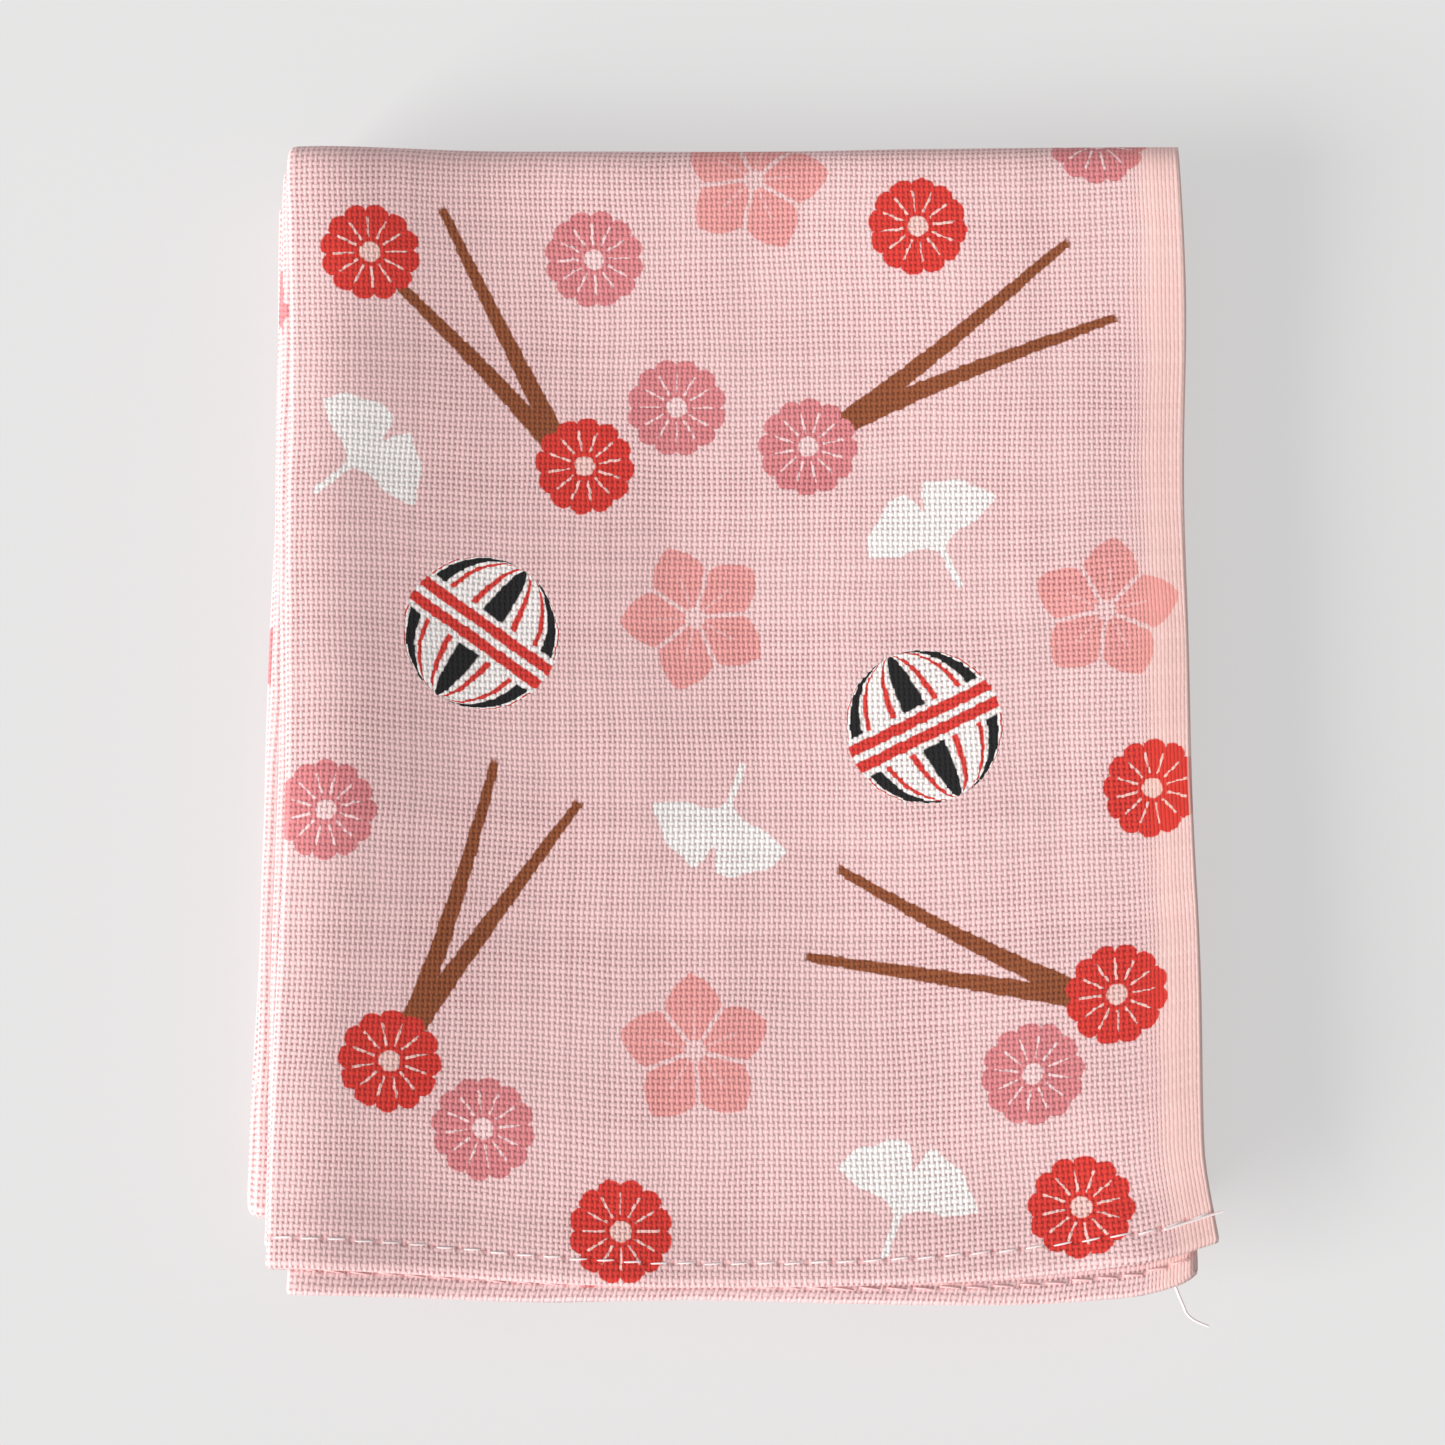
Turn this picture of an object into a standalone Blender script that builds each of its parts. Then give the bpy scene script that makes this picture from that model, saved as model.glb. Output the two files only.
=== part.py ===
"""A cotton tenugui towel, folded into a small flat pile that lies on a surface.

The flat cloth is 352 x 880 mm. It is first folded to a quarter of its width, which makes one strip of
four plies, and that strip is then folded in half three times along its length. The solid here is that
strip: one sheet, as thick as its four plies, which runs back and forth through eight layers.

Metres, +Z up. X runs across the pile, and Y along it: -Y is the front, where the hemmed ends lie, and +Y
is the back, where the strip wraps round the whole pile. The origin is on the surface that the pile lies
on, under its middle.
"""

import math
from collections import namedtuple

import bmesh
import bpy

# The folded strip
STRIP_WIDTH = 0.088
STRIP_THICKNESS = 0.0010
LAYER_PITCH = 0.0014

# How the mesh is divided
PANEL_STEPS = 8
ARC_STEPS_PER_LAYER = 2
LEAST_ARC_STEPS = 8

# A fold is a superellipse: a power of 2 is a round one, and more is boxier
TIGHT_FOLD_POWER = 2.0
WIDE_FOLD_POWER = 2.5

# The strip's left side is the fold of its four plies, so its rim is thinner
RIM_SHARE = 0.35

# Distances from the strip's left side to each column of points
COLUMNS = (0.0, 0.0005, 0.0024, 0.0027, 0.0050, 0.0080, 0.0120, 0.0180, 0.0270, 0.0370,
           0.0480, 0.0590, 0.0690, 0.0770, 0.0820, 0.0848, 0.0860, 0.0864, STRIP_WIDTH)

# The strip's stops, from its hem on top of the pile to the hem under it. At each the strip turns from one
# layer to another, where layer 0 is the lowest. Reach is how far from the middle it gets, shift is how far
# it has crept to the right, and bow is how far the left side of the next panel curves to the right midway.
Stop = namedtuple("Stop", "side before after reach shift bow")
STOPS = (
    Stop("front", None, 7, 0.0560, 0.0000, 0.0009),
    Stop("back", 7, 0, 0.0558, -0.0002, 0.0),
    Stop("front", 0, 3, 0.0500, -0.0023, 0.0003),
    Stop("back", 3, 4, 0.0502, -0.0014, 0.0005),
    Stop("front", 4, 5, 0.0512, -0.0017, 0.0003),
    Stop("back", 5, 2, 0.0518, -0.0011, 0.0002),
    Stop("front", 2, 1, 0.0478, -0.0021, 0.0001),
    Stop("back", 1, 6, 0.0534, -0.0009, 0.0006),
    Stop("front", 6, None, 0.0540, -0.0009, 0.0),
)

# The top hem's own line: how far it runs past the nominal front at each distance from the left
TOP_HEM = (
    # distance from the left, extra reach
    (0.000, -0.0012),
    (0.013, -0.0007),
    (0.026, 0.0001),
    (0.038, 0.0005),
    (0.058, 0.0003),
    (0.070, -0.0003),
    (0.078, -0.0012),
    (0.082, -0.0018),
    (0.088, -0.0036),
)

# The two inner plies show past the top hem, between the strip's left fold and its right edge
INNER_PLIES = (
    # distance from the left, how far they show
    (0.0000, 0.0003),
    (0.0024, 0.0003),
    (0.0027, 0.0024),
    (0.0270, 0.0017),
    (0.0380, 0.0011),
    (0.0590, 0.0018),
    (0.0770, 0.0028),
    (0.0820, 0.0030),
    (0.0860, 0.0020),
    (0.0864, 0.0003),
    (0.0880, 0.0003),
)
INNER_PLY_SHARE = 0.5
STEP_LENGTH = 0.00012
HEM_ROWS = 2

# The top hem's right corner sticks out to the side
CORNER_FLARE = 0.0011
FLARE_LENGTH = 0.013
FLARE_WIDTH = 0.020

# How far the pile departs from evenly pressed, as shares of its height
Mound = namedtuple("Mound", "rise middle spread")
Slope = namedtuple("Slope", "fall start length")
Wave = namedtuple("Wave", "rise per_metre_across per_metre_along phase")
LEFT_RIDGE = Mound(0.15, 0.0030, 0.0062)
BACK_RIDGE = Mound(0.07, 0.0500, 0.0090)
RIGHT_SLOPE = Slope(0.08, 0.045, 0.043)
FRONT_SLOPE = Slope(0.09, 0.036, 0.020)
WAVES = (
    Wave(0.012, 95, 40, 0.0),
    Wave(0.010, -30, 70, 1.0),
)

# The sides are a little uneven along each layer and from one to the next
SIDE_WOBBLE = 0.00015
WOBBLE_ALONG = 130
WOBBLE_UP = 900

COTTON_PINK = (0.79, 0.49, 0.50, 1.0)

# One row of the strip's points
Row = namedtuple("Row", "y height shift bow")


def lookup(table, x):
    """Reads a two-column table at x, along straight lines between its rows."""
    for (x0, y0), (x1, y1) in zip(table, table[1:]):
        if x <= x1:
            return y0 + (y1 - y0) * (x - x0) / (x1 - x0)
    return table[-1][1]


def smooth(t):
    """Rises from 0 at t = 0 to 1 at t = 1 with level ends."""
    t = min(1.0, max(0.0, t))
    return t * t * (3 - 2 * t)


def mound(shape, x):
    return shape.rise * math.exp(-(((x - shape.middle) / shape.spread) ** 2))


def slope(shape, x):
    return shape.fall * smooth((x - shape.start) / shape.length)


def layer_height(layer):
    """The height of a layer's middle plane in an evenly pressed pile."""
    return STRIP_THICKNESS / 2 + layer * LAYER_PITCH


def loft(distance, y):
    """The pile's height at a place, as a share of its evenly pressed height.

    Folds keep it up along the left and the back, and it is thinner at the open right and front edges.
    """
    share = 1 + mound(LEFT_RIDGE, distance) + mound(BACK_RIDGE, y)
    share -= slope(RIGHT_SLOPE, distance) + slope(FRONT_SLOPE, -y)
    for wave in WAVES:
        angle = wave.per_metre_across * distance + wave.per_metre_along * y + wave.phase
        share += wave.rise * math.sin(angle)
    return share


def arc(stop):
    """The rows of a fold that turns from one layer to another."""
    start, end = layer_height(stop.before), layer_height(stop.after)
    layers_turned = abs(stop.after - stop.before)
    power = TIGHT_FOLD_POWER if layers_turned == 1 else WIDE_FOLD_POWER
    steps = LEAST_ARC_STEPS + ARC_STEPS_PER_LAYER * (layers_turned - 1)
    depth = abs(end - start) / 2
    outward = 1 if stop.side == "back" else -1
    rows = []
    for step in range(steps + 1):
        turn = math.pi * step / steps
        beyond = depth * abs(math.sin(turn)) ** (2 / power)
        climb = math.copysign(abs(math.cos(turn)) ** (2 / power), math.cos(turn))
        y = outward * (stop.reach - depth + beyond)
        rows.append(Row(y, start + (end - start) / 2 * (1 - climb), stop.shift, 0.0))
    return rows


def panel(start, end, here, there):
    """The rows of the flat run from one stop to the next."""
    rows = []
    for step in range(PANEL_STEPS + 1):
        share = step / PANEL_STEPS
        shift = here.shift + (there.shift - here.shift) * smooth(share)
        bow = here.bow * 4 * share * (1 - share)
        rows.append(Row(start + (end - start) * share, layer_height(here.after), shift, bow))
    return rows


def strip_rows():
    """All rows of the strip, from the hem on top to the hem under it."""
    rows = []
    start = -STOPS[0].reach
    for here, there in zip(STOPS, STOPS[1:]):
        turn = arc(there) if there.after is not None else []
        end = turn[0].y if turn else -there.reach
        rows += panel(start, end, here, there)
        if turn:
            rows += turn[1:-1]
            start = turn[-1].y
    return [rows[0]] * HEM_ROWS + rows


def place(distance, row, rows):
    """Where a point of the strip lies: distance is from its left side, and row 0 is the inner plies' hem."""
    y, height, shift, bow = rows[row]
    steps_from_hem = max(0, row - HEM_ROWS)
    if steps_from_hem < PANEL_STEPS:
        y -= lookup(TOP_HEM, distance) * (1 - steps_from_hem / PANEL_STEPS) ** 2
        along = smooth(1 - (STOPS[0].reach + y) / FLARE_LENGTH)
        across = smooth(1 - (STRIP_WIDTH - distance) / FLARE_WIDTH)
        shift += CORNER_FLARE * along * across
    if row == 1:
        y -= STEP_LENGTH
    if row == 0:
        y -= lookup(INNER_PLIES, distance)
    wobble = SIDE_WOBBLE * math.sin(WOBBLE_ALONG * y + WOBBLE_UP * height)
    x = -STRIP_WIDTH / 2 + distance + shift + bow * (1 - distance / STRIP_WIDTH) ** 2 + wobble
    z = layer_height(0) + (height - layer_height(0)) * loft(distance, y)
    return x, y, z


def thickness_share(column, row):
    """How much of the strip's thickness is there: less at its left rim, and where only inner plies go on."""
    share = RIM_SHARE if column == 0 else 1.0
    return share * INNER_PLY_SHARE if row < HEM_ROWS else share


def cotton():
    material = bpy.data.materials.new("cotton_pink")
    material.use_nodes = True
    shader = material.node_tree.nodes["Principled BSDF"]
    shader.inputs["Base Color"].default_value = COTTON_PINK
    shader.inputs["Roughness"].default_value = 0.9
    shader.inputs["Metallic"].default_value = 0.0
    material.diffuse_color = COTTON_PINK
    return material


def towel(collection):
    """Folds a flat grid into the pile and gives it the strip's thickness."""
    rows = strip_rows()
    shape = bmesh.new()
    bmesh.ops.create_grid(shape, x_segments=len(COLUMNS) - 1, y_segments=len(rows) - 1, size=0.5)
    shares = []
    for point in shape.verts:
        column = round((point.co.x + 0.5) * (len(COLUMNS) - 1))
        row = round((point.co.y + 0.5) * (len(rows) - 1))
        point.co = place(COLUMNS[column], row, rows)
        shares.append(thickness_share(column, row))
    mesh = bpy.data.meshes.new("towel")
    shape.to_mesh(mesh)
    shape.free()
    mesh.materials.append(cotton())
    mesh.shade_smooth()

    cloth = bpy.data.objects.new("towel", mesh)
    collection.objects.link(cloth)
    group = cloth.vertex_groups.new(name="thickness")
    for index, share in enumerate(shares):
        group.add([index], share, "REPLACE")
    thicken = cloth.modifiers.new("thickness", "SOLIDIFY")
    thicken.thickness = STRIP_THICKNESS
    thicken.offset = 0.0
    thicken.use_even_offset = True
    thicken.use_quality_normals = True
    thicken.vertex_group = group.name
    thicken.thickness_vertex_group = 0.0
    return cloth


def main():
    for thing in list(bpy.data.objects):
        bpy.data.objects.remove(thing, do_unlink=True)
    collection = bpy.data.collections.new("folded_tenugui_towel")
    bpy.context.scene.collection.children.link(collection)
    towel(collection)


main()
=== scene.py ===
"""The looks of a folded cotton tenugui towel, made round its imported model.

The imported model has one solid, the folded strip of four plies. Here the thin cloth itself takes its place:
one sheet, 352 x 880 mm, folded to a quarter of its width and then in half three times along its length, so
32 plies lie on each other. It has turned and stitched hems at its ends, a selvedge along each long side, a
plain weave and a repeating print.

Metres, +Z up. +X is to the selvedges, -Y to the hems, and the origin is on the surface under the pile.
"""

import math
from collections import namedtuple

import bmesh
import bpy
import numpy as np
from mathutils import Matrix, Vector


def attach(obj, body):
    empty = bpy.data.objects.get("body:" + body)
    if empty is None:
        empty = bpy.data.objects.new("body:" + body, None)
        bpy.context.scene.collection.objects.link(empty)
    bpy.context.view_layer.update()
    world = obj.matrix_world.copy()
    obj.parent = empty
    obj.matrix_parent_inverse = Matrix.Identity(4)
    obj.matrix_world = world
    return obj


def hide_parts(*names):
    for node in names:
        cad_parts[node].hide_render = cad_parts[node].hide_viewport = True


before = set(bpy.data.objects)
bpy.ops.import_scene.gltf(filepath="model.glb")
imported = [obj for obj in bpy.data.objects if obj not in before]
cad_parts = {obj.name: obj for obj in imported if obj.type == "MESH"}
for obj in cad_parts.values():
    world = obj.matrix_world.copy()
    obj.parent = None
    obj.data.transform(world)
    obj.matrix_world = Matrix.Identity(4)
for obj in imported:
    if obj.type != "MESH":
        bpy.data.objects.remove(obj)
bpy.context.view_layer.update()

# The folded strip, as wide and thick and with layers as far apart as in the model that this replaces
STRIP_WIDTH = 0.088
STRIP_THICKNESS = 0.0010
LAYER_PITCH = 0.0014

# A fold is a superellipse: a power of 2 is a round one, and more is boxier
TIGHT_FOLD_POWER = 2.0
WIDE_FOLD_POWER = 3.6

# The strip's stops, from its hem on top of the pile to the hem under it. At each the strip turns from one
# layer to another, where layer 0 is the lowest. Reach is how far from the middle it gets, shift is how far
# it has crept to the right, and bow is how far the left side of the next panel curves to the right midway.
Stop = namedtuple("Stop", "side before after reach shift bow")
STOPS = (
    Stop("front", None, 7, 0.0560, 0.0000, 0.0009),
    Stop("back", 7, 0, 0.0555, -0.0002, 0.0),
    Stop("front", 0, 3, 0.0490, -0.0023, 0.0003),
    Stop("back", 3, 4, 0.0502, -0.0014, 0.0005),
    Stop("front", 4, 5, 0.0492, -0.0017, 0.0003),
    Stop("back", 5, 2, 0.0518, -0.0011, 0.0002),
    Stop("front", 2, 1, 0.0478, -0.0021, 0.0001),
    Stop("back", 1, 6, 0.0534, -0.0009, 0.0006),
    Stop("front", 6, None, 0.0528, -0.0004, 0.0),
)

# The top hem's own line: how far it runs past the nominal front at each distance from the left
TOP_HEM = (
    # distance from the left, extra reach
    (0.000, -0.0012),
    (0.013, -0.0007),
    (0.026, 0.0001),
    (0.038, 0.0005),
    (0.058, 0.0003),
    (0.070, -0.0003),
    (0.078, -0.0012),
    (0.082, -0.0018),
    (0.088, -0.0036),
)

# The two inner plies show past the top hem, between the strip's left fold and its right edge
INNER_PLIES = (
    # distance from the left, how far they show
    (0.0000, 0.0024),
    (0.0100, 0.0022),
    (0.0270, 0.0017),
    (0.0380, 0.0011),
    (0.0590, 0.0018),
    (0.0770, 0.0028),
    (0.0815, 0.0030),
    (0.0845, 0.0030),
    (0.0860, 0.0028),
    (0.0866, 0.0025),
)

# The top hem's right corner sticks out to the side
CORNER_FLARE = 0.0011
FLARE_LENGTH = 0.013
FLARE_WIDTH = 0.020

# How far the pile departs from evenly pressed, as shares of its height
Mound = namedtuple("Mound", "rise middle spread")
Slope = namedtuple("Slope", "rise start length")
Wave = namedtuple("Wave", "rise per_metre_across per_metre_along phase")
LEFT_RIDGE = Mound(0.14, 0.0032, 0.0105)
BACK_RIDGE = Mound(0.05, 0.0540, 0.0110)
LEFT_ROUNDING = Mound(-0.020, 0.0, 0.0021)
RIGHT_SLOPE = Slope(0.16, 0.040, 0.048)
FRONT_SLOPE = Slope(-0.09, 0.036, 0.020)
WAVES = (
    Wave(0.012, 95, 40, 0.0),
    Wave(0.010, -30, 70, 1.0),
    Wave(0.0070, 230, 110, 0.6),
    Wave(0.0060, -170, 210, 2.1),
    Wave(0.0025, 420, -150, 4.0),
    Wave(0.0025, 120, 460, 5.2),
)

# The hollow in the pile's top: its depth as a share of the height, how far from the left side it has set
# in, and how far it reaches to the back and to the front
HOLLOW_DEPTH = 0.18
HOLLOW_SPREAD = 0.025
HOLLOW_REACH = 0.054

# The sides are a little uneven along each layer and from one to the next
SIDE_WOBBLE = 0.00015
WOBBLE_ALONG = 130
WOBBLE_UP = 900

# The cloth and its turned hems. A hem's turned side runs a little askew, and its ends lie further in.
CLOTH_THICKNESS = 0.00020
HEM_WIDTH = 0.0042
HEM_GAP = 0.00021
HEM_TURN = 0.00035
HEM_SKEW = 0.35
HEM_END_INSET = 0.0003
HEM_SWELL_LENGTH = 0.009
HEM_LIFT = 0.00026

# The right ends of the plies are uneven along the cloth, each ply in its own way, which wanes to the left
EndWave = namedtuple("EndWave", "size per_metre_along per_metre_out")
END_WAVES = (
    EndWave(0.00022, 61, 4000),
    EndWave(0.00014, 173, 9000),
)
END_WANE = 10

# Near the right corner the top hem gapes: the outer ply rises and the second one stays down
GAPE_MIDDLE = 0.0805
GAPE_WIDTH = 0.0045
GAPE_LENGTH = 0.007
GAPE_RISE = 0.00045
GAPE_DROP = 0.00012

# The machine stitches: how far they lie from the hem's edge, and how they lie on the cloth
STITCH_INSET = 0.0025
STITCH_SWAY = 0.0004
STITCH_STEP = 0.0009
STITCH_STEP_AT = (0.250, 0.270)
STITCH_PITCH = 0.0025
STITCH_LENGTH = 0.0018
STITCH_START = 0.2
STITCH_STEPS = 7
STITCH_RISE = 0.00005
STITCH_DIP = 0.00010
STITCH_SLANT = 0.00016
STITCH_WANDER = 0.00004
WANDER_PER_STITCH = 2.4
STITCH_ROUNDNESS = 0.6
STITCH_END_RADIUS = 0.7
THREAD_RADIUS = 0.00010
GROOVE_DEPTH = 0.00007
GROOVE_WIDTH = 0.0005

# The free ends of the sewing thread. One lies on the stitches at the top hem's right corner and runs past
# the selvedge with a slight turn to the back, and one comes out from under the second hem's right corner.
LAST_STITCHES = (0.0048, 0.0036, 0.0024, 0.0012, 0.0001)
LAST_STITCHES_ASIDE = 0.0002
PAST_SELVEDGE = (0.0006, 0.0009)
PAST_SELVEDGE_TURN = 0.3
LOOSE_THREAD = (
    # x, y, z
    (0.0402, -0.0545, 0.0099),
    (0.0410, -0.0568, 0.0097),
    (0.0416, -0.0582, 0.0094),
    (0.0420, -0.0590, 0.0091),
    (0.0428, -0.0596, 0.0088),
    (0.0440, -0.0601, 0.0086),
)
LOOSE_STEPS = 6
LOOSE_RADII = (1.5, 1.1)

# The plies of the strip from its top side to its underside: how far each lies from the strip's middle,
# pressed and at the hems, and how far its right end stays inside the strip's right side
Ply = namedtuple("Ply", "pressed at_hem inset")
OUTER = Ply(0.00039, 0.000735, 0.0002)
SECOND = Ply(0.00013, 0.000105, 0.0015)
THIRD = Ply(-0.00013, -0.000105, 0.0014)
LOWEST = Ply(-0.00039, -0.000735, 0.0014)

# How far the folds across the strip bulge, and where the inner one starts
OUTER_BULGE = 0.00065
TIGHT_BULGE = 0.00025
INNER_FOLD_AT = 0.0022

# Towards the right side the lowest ply runs out past the top hem too, with the third that it turns into
RUN_OUT_FROM = 0.070
RUN_OUT_LENGTH = 0.016

# How finely the cloth is divided. Near its hems the rows have their own distances from the hem's edge, and
# they lie closest together in the groove of the stitches.
TOP_PANEL_STEPS = 62
PANEL_STEPS = 18
LEAST_ARC_STEPS = 10
ARC_STEPS_PER_LAYER = 2
HEM_STEPS = 7
HEM_STEPS_POWER = 1.5
ROWS_NEAR_HEM = (HEM_TURN, 0.0012, 0.0022, 0.0028, 0.0031, 0.0034, 0.0040, 0.0052)
LEAST_ROW_GAP = 0.0008
PLY_STEPS = (56, 20, 24, 30)
ACROSS_FOLD_STEPS = 7
CROWDING = 0.75


def smooth(t):
    """Rises from 0 at t = 0 to 1 at t = 1 with level ends."""
    t = np.clip(t, 0.0, 1.0)
    return t * t * (3 - 2 * t)


def lookup(table, x):
    """Reads a two-column table at x, along a smooth curve through its rows that doesn't overshoot them."""
    places, values = np.array(table).T
    runs = np.diff(places)
    slopes = np.diff(values) / runs
    same_way = slopes[:-1] * slopes[1:] > 0
    middle = np.where(same_way, (slopes[:-1] + slopes[1:]) / 2, 0.0)
    tangents = np.concatenate([slopes[:1], middle, slopes[-1:]])
    x = np.clip(x, places[0], places[-1])
    row = np.clip(np.searchsorted(places, x, side="right") - 1, 0, len(runs) - 1)
    t = (x - places[row]) / runs[row]
    level = values[row] + (values[row + 1] - values[row]) * smooth(t)
    lean = tangents[row] * t * (1 - t) ** 2 - tangents[row + 1] * t * t * (1 - t)
    return level + lean * runs[row]


def mound(shape, x):
    return shape.rise * np.exp(-(((x - shape.middle) / shape.spread) ** 2))


def slope(shape, x):
    return shape.rise * smooth((x - shape.start) / shape.length)


def layer_height(layer):
    """The height of a layer's middle plane in an evenly pressed pile."""
    return STRIP_THICKNESS / 2 + layer * LAYER_PITCH


FLOOR_LAYER = layer_height(0)


def loft(distance, y):
    """The pile's height at a place, as a share of its evenly pressed height."""
    share = 1 + mound(LEFT_RIDGE, distance)
    share += mound(LEFT_ROUNDING, distance)
    share += mound(BACK_RIDGE, y)
    hollow = (1 - np.exp(-((distance / HOLLOW_SPREAD) ** 2))) * np.exp(-((y / HOLLOW_REACH) ** 4))
    share -= HOLLOW_DEPTH * hollow
    share += slope(RIGHT_SLOPE, distance)
    share += slope(FRONT_SLOPE, -y)
    for wave in WAVES:
        angle = wave.per_metre_across * distance + wave.per_metre_along * y + wave.phase
        share += wave.rise * np.sin(angle)
    return share


# The strip's middle line: v is the length along it from the top hem, and out is its outward direction
Path = namedtuple("Path", "v y height shift bow out_y out_z")


def fold_turn(stop):
    """The points of the fold at a stop, as (y, height)."""
    start, end = layer_height(stop.before), layer_height(stop.after)
    layers_turned = abs(stop.after - stop.before)
    power = TIGHT_FOLD_POWER if layers_turned == 1 else WIDE_FOLD_POWER
    steps = LEAST_ARC_STEPS + ARC_STEPS_PER_LAYER * (layers_turned - 1)
    depth = abs(end - start) / 2
    outward = 1 if stop.side == "back" else -1
    turn = np.linspace(0, math.pi, steps + 1)
    beyond = depth * np.sin(turn).clip(0) ** (2 / power)
    climb = np.sign(np.cos(turn)) * np.abs(np.cos(turn)) ** (2 / power)
    return outward * (stop.reach - depth + beyond), start + (end - start) / 2 * (1 - climb)


def strip_path():
    """Follows the strip's middle line through all its layers."""
    y, height, shift, bow = [], [], [], []
    start = -STOPS[0].reach
    for number, (here, there) in enumerate(zip(STOPS, STOPS[1:])):
        turn_y, turn_height = fold_turn(there) if there.after is not None else ([-there.reach], [])
        steps = TOP_PANEL_STEPS if number == 0 else PANEL_STEPS
        share = np.linspace(0, 1, steps + 1)
        y.extend(start + (turn_y[0] - start) * share)
        height.extend(np.full(steps + 1, layer_height(here.after)))
        shift.extend(here.shift + (there.shift - here.shift) * smooth(share))
        bow.extend(here.bow * 4 * share * (1 - share))
        y.extend(turn_y[1:-1])
        height.extend(turn_height[1:-1])
        shift.extend([there.shift] * (len(turn_y) - 2))
        bow.extend([0.0] * (len(turn_y) - 2))
        start = turn_y[-1]
    y, height = np.array(y), np.array(height)
    along_y, along_z = np.gradient(y), np.gradient(height)
    speed = np.hypot(along_y, along_z)
    v = np.concatenate([[0], np.cumsum(np.hypot(np.diff(y), np.diff(height)))])
    return Path(v, y, height, np.array(shift), np.array(bow), -along_z / speed, along_y / speed)


PATH = strip_path()
LENGTH = PATH.v[-1]
TOP_PANEL = STOPS[0].reach + STOPS[1].reach


def strip_point(v, distance, offset, inner):
    """Points of the folded strip: v along it, distance from its left side and offset out of its middle.

    Inner is 1 where a ply runs past the top hem, 0 where it ends there, and between them where it changes.
    """
    y, height, shift, bow, out_y, out_z = (np.interp(v, PATH.v, values) for values in PATH[1:])
    near_top_hem = np.clip(1 - v / TOP_PANEL, 0, 1) ** 2
    extra_reach = lookup(TOP_HEM, distance) + inner * lookup(INNER_PLIES, distance)
    y = y - extra_reach * near_top_hem + offset * out_y
    height = height + offset * out_z
    along = smooth(1 - (STOPS[0].reach + y) / FLARE_LENGTH) * (v < TOP_PANEL)
    across = smooth(1 - (STRIP_WIDTH - distance) / FLARE_WIDTH)
    flare = CORNER_FLARE * along * across * (1 - inner)
    shift = shift + bow * (1 - distance / STRIP_WIDTH) ** 2 + flare
    wobble = SIDE_WOBBLE * np.sin(WOBBLE_ALONG * y + WOBBLE_UP * height)
    x = -STRIP_WIDTH / 2 + distance + shift + wobble
    raised = height - FLOOR_LAYER
    z = FLOOR_LAYER + np.where(raised > 0, raised * loft(distance, y), raised)
    # The hems are thicker than the strip, so the top one rises and the one under it sinks
    z = z + HEM_LIFT * (1 - smooth(v / HEM_SWELL_LENGTH))
    z = z - HEM_LIFT * (1 - smooth((LENGTH - v) / HEM_SWELL_LENGTH))
    gape = np.exp(-(((distance - GAPE_MIDDLE) / GAPE_WIDTH) ** 2)) * (1 - smooth(v / GAPE_LENGTH))
    z = z + np.where(inner > 0.5, -GAPE_DROP, GAPE_RISE) * gape * (offset > 0)
    return x, y, z


# The cloth's line across the strip: u is the width from the top ply's selvedge, and face is the direction
# that its printed side looks to, across and out of the strip
Section = namedtuple("Section", "u distance pressed at_hem inset face_across face_out inner")


def crowded(steps):
    """Shares from 0 to 1 that lie closer together towards both ends."""
    t = np.linspace(0, 1, steps + 1)
    return t - CROWDING * np.sin(2 * math.pi * t) / (2 * math.pi)


def cloth_section():
    """Follows the cloth across the strip: the outer ply, the lowest, the third and the second."""
    rows = []

    def ply(which, start, end, steps, face, inner):
        for share in crowded(steps):
            rows.append((start + (end - start) * share, *which, 0.0, face, inner))

    def fold(first, second, edge, bulge, side, face, inner):
        """Turns from one ply to the next: side is -1 at a left edge, and face 1 if it is printed outside."""
        for share in np.linspace(0, 1, ACROSS_FOLD_STEPS + 1)[1:-1]:
            angle = math.pi * share
            turned = (1 - math.cos(angle)) / 2
            values = [a + (b - a) * turned for a, b in zip(first, second)]
            distance = edge + side * bulge * math.sin(angle)
            across = face * side * math.sin(angle)
            out = face * math.copysign(1, first.pressed - second.pressed) * math.cos(angle)
            rows.append((distance, *values, across, out, inner))

    left, right = OUTER_BULGE, STRIP_WIDTH - TIGHT_BULGE
    inner_left = INNER_FOLD_AT + TIGHT_BULGE
    ply(OUTER, STRIP_WIDTH, left, PLY_STEPS[0], 1, 0)
    fold(OUTER, LOWEST, left, OUTER_BULGE, -1, 1, 0)
    ply(LOWEST, left, right, PLY_STEPS[1], -1, 0)
    fold(LOWEST, THIRD, right, TIGHT_BULGE, 1, 1, 1)
    ply(THIRD, right, inner_left, PLY_STEPS[2], 1, 1)
    fold(THIRD, SECOND, inner_left, TIGHT_BULGE, -1, -1, 1)
    ply(SECOND, inner_left, STRIP_WIDTH, PLY_STEPS[3], -1, 1)
    distance, pressed, at_hem, inset, face_across, face_out, inner = np.array(rows).T
    run_out = smooth((distance - RUN_OUT_FROM) / RUN_OUT_LENGTH)
    inner = np.where(pressed == LOWEST.pressed, run_out, inner)
    u = np.concatenate([[0], np.cumsum(np.hypot(np.diff(distance), np.diff(pressed)))])
    return Section(u, distance, pressed, at_hem, inset, face_across, face_out, inner)


SECTION = cloth_section()
WIDTH = SECTION.u[-1]


def stitch_line(u):
    """How far the stitches lie from the hem's edge."""
    step = STITCH_STEP * smooth((u - STITCH_STEP_AT[0]) / (STITCH_STEP_AT[1] - STITCH_STEP_AT[0]))
    return STITCH_INSET + STITCH_SWAY * np.cos(2 * math.pi * u / STRIP_WIDTH) - step


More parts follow.
